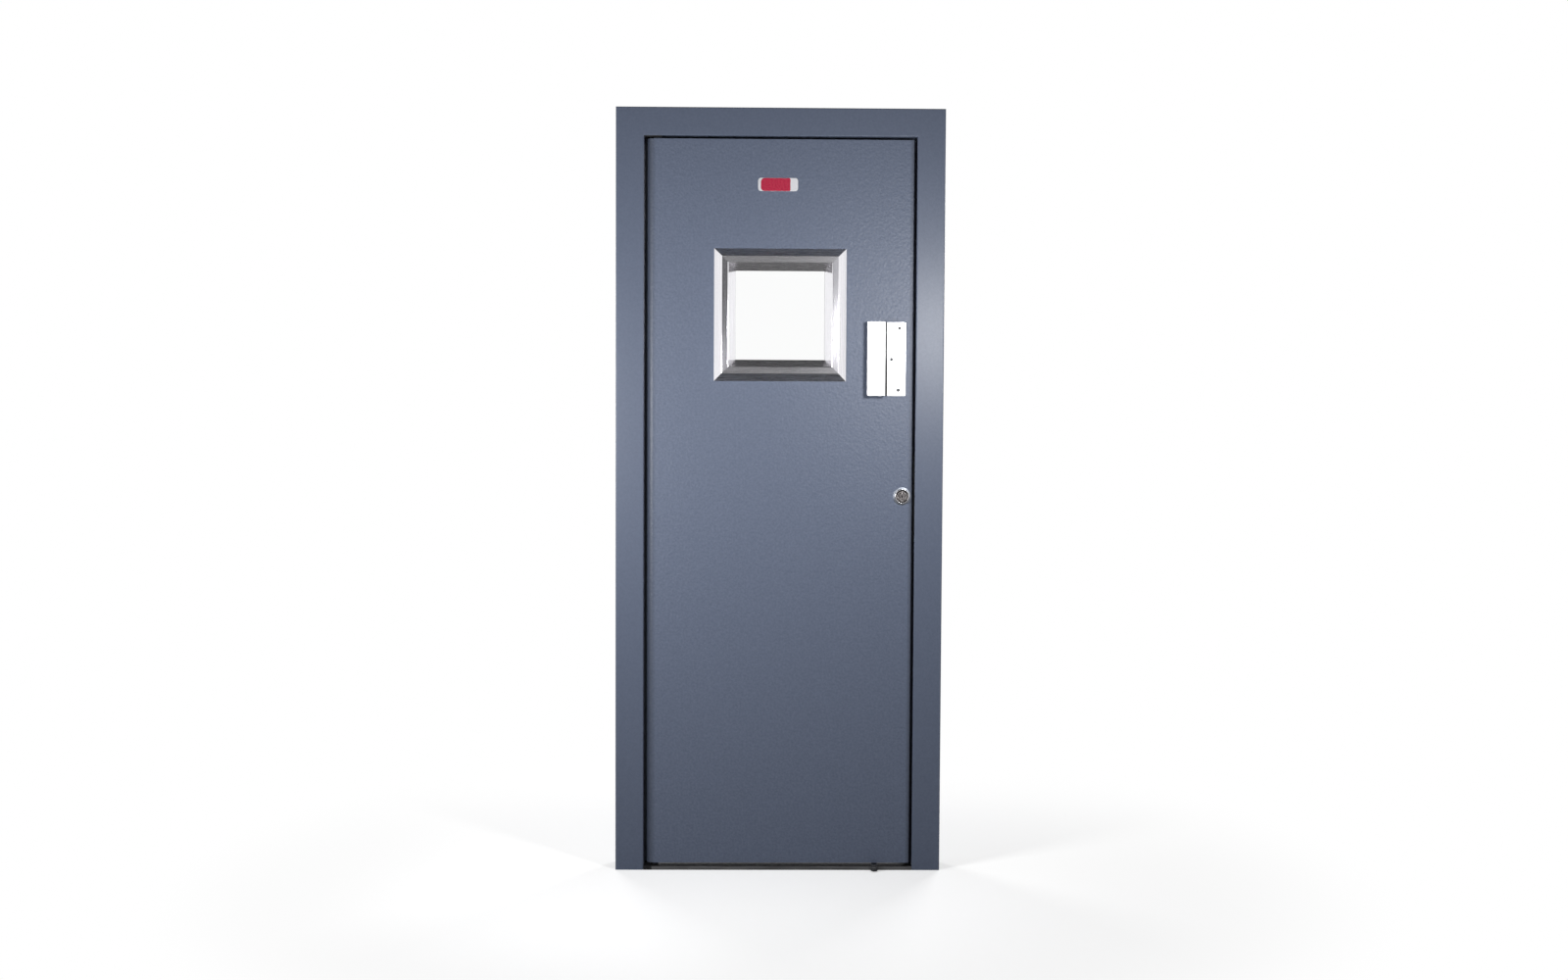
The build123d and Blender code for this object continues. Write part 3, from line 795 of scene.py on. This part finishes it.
# Lock.
# A key cylinder near the edge of the leaf, sunk in a turned rosette whose ring is chromed and whose base is
# satin. The plug in the middle turns with the key. The cylinder is darker nickel, mottled brown to pale.
CHROME = (0.80, 0.80, 0.82)
CHROME_DARK = (0.64, 0.64, 0.66)
CYLINDER_BROWN = (0.09, 0.08, 0.08)
CYLINDER_PALE = (0.36, 0.34, 0.34)
ROSETTE_RADIUS = 0.0245
ROSETTE_THICKNESS = 0.0025
BASE_EDGE = 0.0010
RING_RADIUS = 0.020
RING_RISE = 0.008
CREST_WIDTH = 0.0022
DISH_DEPTH = 0.0028
BASE_GREY = (0.21, 0.23, 0.27)
BASE_PALE = (0.32, 0.34, 0.38)
PLUG_RADIUS = 0.0085
PLUG_BORE = 0.00855
PLUG_END_GAP = 0.0003
KEYWAY_DEPTH = 0.022
KEYWAY_EDGE_MM = (
    (-0.9, 5.0), (0.3, 5.0), (0.5, 3.4), (1.2, 3.0), (1.2, 1.4), (0.4, 0.9), (0.4, -0.8), (1.2, -1.3),
    (1.2, -3.2), (0.6, -3.6), (0.6, -5.0), (-0.6, -5.0), (-0.6, -2.4), (-1.2, -2.0), (-1.2, 0.2),
    (-0.5, 0.7), (-0.5, 2.2), (-1.1, 2.6),
)

chrome = new_finish("chromed_brass", CHROME, 0.12, 1.0)
tint(chrome, grain(chrome, 0.01, 3), CHROME_DARK, CHROME, 0.2, 0.5)
wire(chrome, spread(chrome, grain(chrome, 0.003, 3), 0.08, 0.22), "Roughness")
dark_nickel = new_finish("dark_nickel", CYLINDER_PALE, 0.3, 1.0)
tint(dark_nickel, grain(dark_nickel, 0.004, 4), CYLINDER_BROWN, CYLINDER_PALE, 0.35, 0.7)
wire(dark_nickel, spread(dark_nickel, grain(dark_nickel, 0.002, 3), 0.2, 0.45), "Roughness")
wire(dark_nickel, relief(dark_nickel, grain(dark_nickel, 0.0008), 0.00002), "Normal")


def rounded_profile(corners, radii, steps=5):
    """A turned profile with each of its corners rounded. A radius of 0 leaves the corner sharp."""
    line = []
    for before, corner, after, radius in zip(
        corners[-1:] + corners[:-1], corners, corners[1:] + corners[:1], radii
    ):
        if radius:
            line += [tuple(p) for p, side in folded_line([before, corner, after], [radius], steps)[1:-1]]
        else:
            line.append(corner)
    return line


satin_steel = new_finish("satin_steel", BASE_PALE, 0.4, 0.9)
tint(satin_steel, grain(satin_steel, 0.004, 3), BASE_GREY, BASE_PALE)
wire(satin_steel, spread(satin_steel, grain(satin_steel, 0.001, 3), 0.32, 0.5), "Roughness")

ring_crest = ROSETTE_THICKNESS + RING_RISE
dish_edge = RING_RADIUS - CREST_WIDTH
rosette = turned(
    "lock_rosette_turned",
    rounded_profile(
        [
            (LOCK_BORE, 0.0),
            (ROSETTE_RADIUS, 0.0),
            (ROSETTE_RADIUS, BASE_EDGE),
            (RING_RADIUS, ROSETTE_THICKNESS),
            (RING_RADIUS, ring_crest),
            (dish_edge, ring_crest),
            (LOCK_BORE, ring_crest - DISH_DEPTH),
        ],
        [0, 0.0002, 0.0006, 0.0008, 0.0012, 0.0008, 0.0004],
    ),
    (lock_x, LEAF_LOW.y, lock_z), (0, -1, 0), chrome, "leaf", ["lock_rosette"], "lock_chrome", 96,
)
for finish in (satin_steel, dark_nickel):
    rosette.data.materials.append(finish)
for face in rosette.data.polygons:
    radius = math.hypot(face.center.x - lock_x, face.center.z - lock_z)
    if radius > RING_RADIUS:
        face.material_index = 1
    elif radius < dish_edge:
        face.material_index = 2
soften(rosette)

cylinder_length = CYLINDER_HIGH.y - CYLINDER_LOW.y
cylinder_radius = (CYLINDER_HIGH.x - CYLINDER_LOW.x) / 2
PLUG_LOW, PLUG_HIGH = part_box("lock_plug")
plug_length = PLUG_HIGH.y - PLUG_LOW.y
bore_depth = PLUG_HIGH.y - CYLINDER_LOW.y + PLUG_END_GAP
cylinder = turned(
    "lock_cylinder_turned",
    rounded_profile(
        [
            (PLUG_BORE, 0.0), (cylinder_radius, 0.0), (cylinder_radius, cylinder_length),
            (0.0, cylinder_length), (0.0, bore_depth), (PLUG_BORE, bore_depth),
        ],
        [0.0006, 0.0008, 0.0003, 0, 0, 0],
    ),
    (lock_x, CYLINDER_LOW.y, lock_z), (0, 1, 0), dark_nickel, "leaf", ["lock_cylinder"], "lock_dark", 96,
)
soften(cylinder)
plug = turned(
    "lock_plug_turned",
    rounded_profile(
        [(0.0, 0.0), (PLUG_RADIUS, 0.0), (PLUG_RADIUS, plug_length), (0.0, plug_length)],
        [0, 0.0007, 0.0003, 0],
    ),
    (lock_x, PLUG_LOW.y, lock_z), (0, 1, 0), dark_nickel, "key_plug", ["lock_plug"], "lock_dark", 72,
)
cut_out(plug, [prism(
    [Vector((lock_x + x / 1000, 0, lock_z + z / 1000)) for x, z in KEYWAY_EDGE_MM],
    Vector((0, PLUG_LOW.y - 0.001, 0)),
    Vector((0, PLUG_LOW.y + KEYWAY_DEPTH, 0)),
)])
soften(plug)

# Pull handle.
# A 3 mm stainless plate folded twice. Its foot is screwed flat to the leaf with three screws, the web
# stands off, and the grip runs back towards the hinges with room for the fingers behind it.
HANDLE_LOW, HANDLE_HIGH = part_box("pull_handle")
HANDLE_SHEET = 0.003
HANDLE_FOOT = 0.057
HANDLE_FOLD = 0.002
HANDLE_CORNER = 0.003
HANDLE_ARRIS = 0.0005
HANDLE_LIGHT = (0.90, 0.90, 0.91)
HANDLE_DARK = (0.74, 0.74, 0.75)
HANDLE_GLOSS, HANDLE_DULL, HANDLE_SCRATCH = 0.34, 0.46, 0.00001
NEARLY_NOTHING = 1e-6
HANDLE_SCREWS = {"top": (0.327, 1.503), "middle": (0.3057, 1.4174), "bottom": (0.325, 1.333)}
HANDLE_SCREW_RADIUS = 0.0047
SCREW_GREY = (0.11, 0.11, 0.115)
SCREW_DARK = (0.06, 0.06, 0.065)
FOLD_SHADE = 0.025
FOLD_SHADE_WIDTH = 0.0062
FOLD_SHADE_FADE = 0.0005

handle_steel = brushed_steel(
    "brushed_handle_plate", "z", HANDLE_LIGHT, HANDLE_DARK, HANDLE_GLOSS, HANDLE_DULL, HANDLE_SCRATCH,
)
screw_steel = new_finish("screw_steel", SCREW_GREY, 0.5, 0.7)
tint(screw_steel, grain(screw_steel, 0.001, 3), SCREW_DARK, SCREW_GREY)
wire(screw_steel, spread(screw_steel, grain(screw_steel, 0.001), 0.45, 0.6), "Roughness")

foot_front = LEAF_LOW.y - HANDLE_SHEET
web_x = HANDLE_HIGH.x - HANDLE_FOOT
# Painted shade: the plate is darkened to near black in a narrow strip along the fold beside the web.
shade_strip(handle_steel, "X", web_x, web_x + FOLD_SHADE_WIDTH, FOLD_SHADE, FOLD_SHADE_FADE)
handle_line = folded_line(
    [
        (HANDLE_HIGH.x, foot_front),
        (web_x, foot_front),
        (web_x, HANDLE_LOW.y),
        (HANDLE_LOW.x, HANDLE_LOW.y),
    ],
    [HANDLE_FOLD, HANDLE_FOLD + HANDLE_SHEET],
    10,
)
handle = swept(
    "pull_handle_folded",
    sheet_loop(handle_line, -HANDLE_SHEET),
    [lambda x, y: Vector((x, y, HANDLE_LOW.z)), lambda x, y: Vector((x, y, HANDLE_HIGH.z))],
    handle_steel, "leaf", ["pull_handle"], "handle_steel",
)


def at_plate_end(vert):
    return min(abs(vert.co.x - HANDLE_LOW.x), abs(vert.co.x - HANDLE_HIGH.x)) < NEARLY_NOTHING


edit = bmesh.new()
edit.from_mesh(handle.data)
outer_corners = [
    edge for edge in edit.edges
    if abs(edge.verts[0].co.z - edge.verts[1].co.z) < NEARLY_NOTHING and all(map(at_plate_end, edge.verts))
]
bmesh.ops.bevel(
    edit, geom=outer_corners, offset=HANDLE_CORNER, segments=6, profile=0.5, affect="EDGES",
)
edit.to_mesh(handle.data)
edit.free()
soften(handle, HANDLE_ARRIS)
# The trim beside it mirrors the bright room in the photograph, and not the shaded inside of the grip.
handle.visible_glossy = False
for where, (x, z) in HANDLE_SCREWS.items():
    cross_screw(
        f"handle_screw_{where}", (x, foot_front, z), (0, -1, 0), HANDLE_SCREW_RADIUS, screw_steel, "leaf",
        "handle_steel",
    )

# Blank plate.
# A thin pressed plate glued near the top of the leaf: a red enamel field between two bright ends, with
# nothing written on it.
PLATE_LOW, PLATE_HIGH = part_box("blank_plate")
PLATE_CORNER = 0.008
PLATE_ARRIS = 0.0003
ENAMEL_RED = (0.50, 0.016, 0.060)
ENAMEL_DEEP = (0.36, 0.010, 0.040)
PLATE_PALE = (0.80, 0.80, 0.82)
PLATE_SHADE = (0.66, 0.66, 0.70)
FIELD_SHARE = (0.07, 0.81)
FIELD_MARGIN = 0.0004
FIELD_RISE = 0.0002
FIELD_FOOT = 0.0004
FIELD_CORNERS = (0.010, 0.004)
FIELD_ARRIS = 0.00015

pale_metal = new_finish("satin_plate", PLATE_PALE, 0.4, 0.6)
tint(pale_metal, grain(pale_metal, 0.002, 3), PLATE_SHADE, PLATE_PALE)
wire(pale_metal, spread(pale_metal, grain(pale_metal, 0.001), 0.3, 0.5), "Roughness")
red_enamel = new_finish("red_enamel", ENAMEL_RED, 0.25, 0.0, Coat_Weight=0.5, Coat_Roughness=0.1)
tint(red_enamel, grain(red_enamel, 0.004, 3), ENAMEL_DEEP, ENAMEL_RED)
wire(red_enamel, spread(red_enamel, grain(red_enamel, 0.003), 0.2, 0.35), "Roughness")


def plate_outline(low_x, high_x, low_z, high_z, left_radius, right_radius, steps=10):
    """A flat plate's outline in x and z, with one corner radius at each end."""
    outline = []
    for x, z, radius, start in (
        (high_x, high_z, right_radius, 0), (low_x, high_z, left_radius, 90),
        (low_x, low_z, left_radius, 180), (high_x, low_z, right_radius, 270),
    ):
        cx = x - radius if x == high_x else x + radius
        cz = z - radius if z == high_z else z + radius
        for i in range(steps + 1):
            a = math.radians(start + 90 * i / steps)
            outline.append((cx + radius * math.cos(a), cz + radius * math.sin(a)))
    return outline


plate = swept(
    "blank_plate_pressed",
    plate_outline(PLATE_LOW.x, PLATE_HIGH.x, PLATE_LOW.z, PLATE_HIGH.z, PLATE_CORNER, PLATE_CORNER),
    [lambda x, z: Vector((x, PLATE_HIGH.y, z)), lambda x, z: Vector((x, PLATE_LOW.y + FIELD_RISE, z))],
    pale_metal, "leaf", ["blank_plate"], "plate",
)
soften(plate, PLATE_ARRIS)
plate_length = PLATE_HIGH.x - PLATE_LOW.x
field = swept(
    "blank_plate_enamel",
    plate_outline(
        PLATE_LOW.x + plate_length * FIELD_SHARE[0], PLATE_LOW.x + plate_length * FIELD_SHARE[1],
        PLATE_LOW.z + FIELD_MARGIN, PLATE_HIGH.z - FIELD_MARGIN, *FIELD_CORNERS,
    ),
    [lambda x, z: Vector((x, PLATE_HIGH.y - FIELD_FOOT, z)), lambda x, z: Vector((x, PLATE_LOW.y, z))],
    red_enamel, "leaf", None, "plate",
)
soften(field, FIELD_ARRIS)

# Foot.
# A small dark rubber foot on a steel tongue screwed under the leaf. It hangs just in front of the sill,
# clear of the floor, and props the open leaf.
FOOT_LOW, FOOT_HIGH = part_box("leaf_foot")
FOOT_RADIUS = 0.010
FOOT_WAIST = 0.0088
FOOT_EDGE = 0.0026
FOOT_WAIST_FROM, FOOT_WAIST_AT = 0.55, 0.70
TONGUE_WIDTH = 0.016
TONGUE_THICKNESS = 0.003
TONGUE_CORNER = 0.003
TONGUE_ARRIS = 0.0003
FOOT_GREY = (0.026, 0.027, 0.030)
FOOT_PALE = (0.060, 0.062, 0.068)

foot_rubber = new_finish("foot_rubber", FOOT_GREY, 0.5)
tint(foot_rubber, grain(foot_rubber, 0.004, 3), FOOT_GREY, FOOT_PALE)
wire(foot_rubber, spread(foot_rubber, grain(foot_rubber, 0.002), 0.4, 0.62), "Roughness")
wire(foot_rubber, relief(foot_rubber, grain(foot_rubber, 0.0008), 0.00005), "Normal")

foot_x = (FOOT_LOW.x + FOOT_HIGH.x) / 2
foot_y = FOOT_LOW.y + FOOT_RADIUS
foot_height = FOOT_HIGH.z - FOOT_LOW.z
foot = turned(
    "leaf_foot_turned",
    rounded_profile(
        [
            (0.0, 0.0), (FOOT_RADIUS, 0.0), (FOOT_RADIUS, foot_height * FOOT_WAIST_FROM),
            (FOOT_WAIST, foot_height * FOOT_WAIST_AT), (FOOT_RADIUS, foot_height), (0.0, foot_height),
        ],
        [0, FOOT_EDGE, 0.001, 0.002, 0.001, 0],
    ),
    (foot_x, foot_y, FOOT_LOW.z), (0, 0, 1), foot_rubber, "leaf", ["leaf_foot"], "foot_rubber",
)
soften(foot)

tongue = swept(
    "leaf_foot_tongue",
    plate_outline(
        foot_x - TONGUE_WIDTH / 2, foot_x + TONGUE_WIDTH / 2, foot_y, FOOT_HIGH.y,
        TONGUE_CORNER, TONGUE_CORNER,
    ),
    [
        lambda x, y: Vector((x, y, FOOT_HIGH.z - TONGUE_THICKNESS)),
        lambda x, y: Vector((x, y, FOOT_HIGH.z)),
    ],
    blackened, "leaf", None, "foot_rubber",
)
soften(tongue, TONGUE_ARRIS)
cross_screw(
    "leaf_foot_screw", (foot_x, FOOT_HIGH.y - TONGUE_WIDTH / 2, FOOT_HIGH.z - TONGUE_THICKNESS), (0, 0, -1),
    SCREW_HEAD, blackened, "leaf", "foot_rubber",
)

# Studio.
# A pale floor that fades to white, a soft lamp on each side in front of the door, two more behind it and a
# white room. Reflections also see grey cards and a darker floor, which give bright metal its dark bands.
LAMP_AIM = Vector((0.0, 0.0, 1.2))
LAMPS = {
    "right_lamp": (Vector((0.54, -1.10, 1.54)), 0.18, 9.2),
    "left_lamp": (Vector((-1.04, -1.10, 1.28)), 0.45, 15.6),
    "back_right_lamp": (Vector((1.3, 2.3, 1.9)), 0.9, 30.0),
    "back_left_lamp": (Vector((-1.3, 2.3, 1.5)), 0.9, 24.0),
}
ROOM_LIGHT = 0.15
WHITE = (1, 1, 1, 1)
FLOOR_PALE = (0.86, 0.86, 0.86, 1)
FLOOR_RADIUS = 14.0
FLOOR_SIDES = 96
FLOOR_GLOW = 0.40
FADE_START, FADE_END = 0.6, 1.7
MIRROR_NEAR, MIRROR_FAR = 0.04, 0.40
MIRROR_START, MIRROR_END = 0.65, 1.05


def stage_sheet(name, corners, paint):
    """A flat sheet of the studio with its paint."""
    mesh = bpy.data.meshes.new(name)
    mesh.from_pydata(corners, [], [tuple(range(len(corners)))])
    mesh.materials.append(paint)
    sheet = bpy.data.objects.new(name, mesh)
    bpy.context.scene.collection.objects.link(sheet)
    return sheet


pale_floor = bpy.data.materials.new("pale_floor")
pale_floor.use_nodes = True
pale_floor.node_tree.nodes.clear()
path = add_node(pale_floor, "ShaderNodeLightPath").outputs
seen = add_node(
    pale_floor, "ShaderNodeMath", {0: path["Is Camera Ray"], 1: path["Is Transmission Ray"]},
    operation="MAXIMUM",
).outputs["Value"]
matt = add_node(pale_floor, "ShaderNodeBsdfDiffuse", {"Color": FLOOR_PALE}).outputs["BSDF"]
glow = add_node(pale_floor, "ShaderNodeMath", {0: seen, 1: FLOOR_GLOW}, operation="MULTIPLY").outputs["Value"]
glow = add_node(pale_floor, "ShaderNodeEmission", {"Color": WHITE, "Strength": glow}).outputs["Emission"]
lit = add_node(pale_floor, "ShaderNodeAddShader", {0: matt, 1: glow}).outputs["Shader"]
white = add_node(pale_floor, "ShaderNodeEmission", {"Color": WHITE, "Strength": 1.0}).outputs["Emission"]
where = add_node(pale_floor, "ShaderNodeTexCoord").outputs["Object"]
reach = add_node(pale_floor, "ShaderNodeVectorMath", {0: where}, operation="LENGTH").outputs["Value"]
fade = add_node(pale_floor, "ShaderNodeMapRange", {
    "Value": reach, "From Min": FADE_START, "From Max": FADE_END, "To Min": 0.0, "To Max": 1.0,
}, interpolation_type="SMOOTHSTEP").outputs["Result"]
seen_fade = add_node(pale_floor, "ShaderNodeMath", {0: seen, 1: fade}, operation="MULTIPLY").outputs["Value"]
plain = add_node(pale_floor, "ShaderNodeMixShader", {0: seen_fade, 1: lit, 2: white}).outputs["Shader"]
from_door = add_node(pale_floor, "ShaderNodeSeparateXYZ", {0: where}).outputs["Y"]
from_door = add_node(pale_floor, "ShaderNodeMath", {0: from_door}, operation="ABSOLUTE").outputs["Value"]
tone = spread(pale_floor, from_door, MIRROR_NEAR, MIRROR_FAR, MIRROR_START, MIRROR_END)
dark = add_node(pale_floor, "ShaderNodeEmission", {"Color": WHITE, "Strength": tone}).outputs["Emission"]
in_metal = add_node(
    pale_floor, "ShaderNodeMath", {0: path["Glossy Depth"], 1: 1.0}, operation="MINIMUM",
).outputs["Value"]
surface = add_node(pale_floor, "ShaderNodeMixShader", {0: in_metal, 1: plain, 2: dark}).outputs["Shader"]
add_node(pale_floor, "ShaderNodeOutputMaterial", {"Surface": surface})
turns = [2 * math.pi * i / FLOOR_SIDES for i in range(FLOOR_SIDES)]
stage_sheet("floor", [(FLOOR_RADIUS * math.cos(a), FLOOR_RADIUS * math.sin(a), 0) for a in turns], pale_floor)

for name, (place, size, power) in LAMPS.items():
    lamp = bpy.data.lights.new(name, "AREA")
    lamp.energy, lamp.size = power, size
    holder = bpy.data.objects.new(name, lamp)
    bpy.context.scene.collection.objects.link(holder)
    holder.location = place
    holder.rotation_mode = "QUATERNION"
    holder.rotation_quaternion = (LAMP_AIM - place).to_track_quat("-Z", "Y")
    holder.visible_camera = holder.visible_transmission = False

room = bpy.data.worlds.new("white_room")
room.use_nodes = True
bpy.context.scene.world = room
rays = add_node(room, "ShaderNodeLightPath").outputs
shown = add_node(
    room, "ShaderNodeMath", {0: rays["Is Camera Ray"], 1: rays["Is Transmission Ray"]}, operation="MAXIMUM",
).outputs["Value"]
shown = add_node(
    room, "ShaderNodeMath", {0: shown, 1: rays["Is Glossy Ray"]}, operation="MAXIMUM",
).outputs["Value"]
background = room.node_tree.nodes["Background"]
background.inputs["Color"].default_value = WHITE
room.node_tree.links.new(spread(room, shown, ROOM_LIGHT, 1.0, 0.0, 1.0), background.inputs["Strength"])

CARD_BLUE = 1.04
CARDS_UPRIGHT = (
    ("flag_front", -6.0, (-4.0, 1.4), (0.0, 3.1), 0.45),
    ("flag_front_left", -5.9, (-1.5, 0.0), (1.7, 2.6), 0.05),
    ("flag_front_middle", -5.8, (-0.20, 0.33), (0.30, 2.95), 0.10),
    ("card_front_right", -5.9, (0.1, 1.3), (1.1, 2.4), 0.70),
    ("flag_back", 6.0, (-2.5, 2.5), (0.0, 3.1), 0.45),
)
CARD_ABOVE = [(-2.2, -3.2, 3.1), (2.2, -3.2, 3.1), (2.2, 3.2, 3.1), (-2.2, 3.2, 3.1)]
CARD_ABOVE_GREY = 0.06


def reflected_card(name, corners, grey, through_glass=False):
    """A flat card that only reflections see, some of them through the glass."""
    paint = bpy.data.materials.new(name + "_paint")
    paint.use_nodes = True
    paint.node_tree.nodes.clear()
    tone = add_node(paint, "ShaderNodeEmission", {"Color": (grey, grey, grey * CARD_BLUE, 1), "Strength": 1.0})
    add_node(paint, "ShaderNodeOutputMaterial", {"Surface": tone.outputs["Emission"]})
    card = stage_sheet(name, corners, paint)
    for ray in ("camera", "diffuse", "volume_scatter", "shadow"):
        setattr(card, "visible_" + ray, False)
    card.visible_transmission = through_glass


reflected_card("flag_above", CARD_ABOVE, CARD_ABOVE_GREY, True)
for name, y, (low_x, high_x), (low_z, high_z), grey in CARDS_UPRIGHT:
    corners = [(low_x, y, low_z), (high_x, y, low_z), (high_x, y, high_z), (low_x, y, high_z)]
    reflected_card(name, corners, grey)

# Camera.
# At eye height straight in front of the door and a little to its left, as in the photograph.
CAMERA_PLACE = (-0.0586, -4.8437, 1.2819)
CAMERA_PITCH, CAMERA_YAW, CAMERA_ROLL = -0.0468, -0.0149, 0.0051
SENSOR_MM, LENS_MM = 36.0, 40.05
lens = bpy.data.cameras.new("camera")
lens.sensor_width, lens.lens = SENSOR_MM, LENS_MM
camera = bpy.data.objects.new("camera", lens)
bpy.context.scene.collection.objects.link(camera)
camera.matrix_world = (
    Matrix.Translation(CAMERA_PLACE)
    @ Matrix.Rotation(CAMERA_YAW, 4, "Z")
    @ Matrix.Rotation(math.pi / 2 + CAMERA_PITCH, 4, "X")
    @ Matrix.Rotation(CAMERA_ROLL, 4, "Z")
)
bpy.context.scene.camera = camera
bpy.context.scene.view_settings.view_transform = "Standard"
